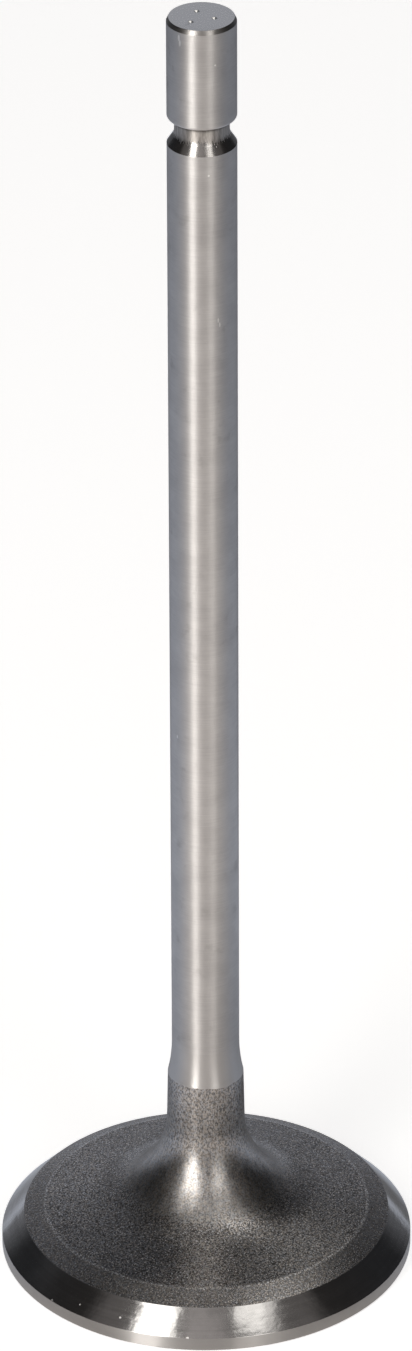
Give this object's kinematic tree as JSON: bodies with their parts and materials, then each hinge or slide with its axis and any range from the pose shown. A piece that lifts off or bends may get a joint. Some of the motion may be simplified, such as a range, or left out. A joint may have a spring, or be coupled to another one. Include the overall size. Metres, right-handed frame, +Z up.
{
  "type": "engine poppet valve",
  "caption": "One-piece poppet valve with a ground stem, keeper groove and chamfered tip, and a tulip head with a conical seat; it seals a cylinder port and slides in a guide.",
  "frame": {"origin": "centre of the flat combustion face, on the stem's axis, at the base of the part", "axes": "+Z up the stem from the head to the tip; X and Y lie in the combustion face"},
  "size_m": [0.049, 0.049, 0.1626],
  "materials": {
    "valve_steel": "ground stem, tip and seat; shot-blasted neck and back of the head"
  },
  "bodies": {
    "root": {"valve": "valve_steel"}
  },
  "joints": []
}
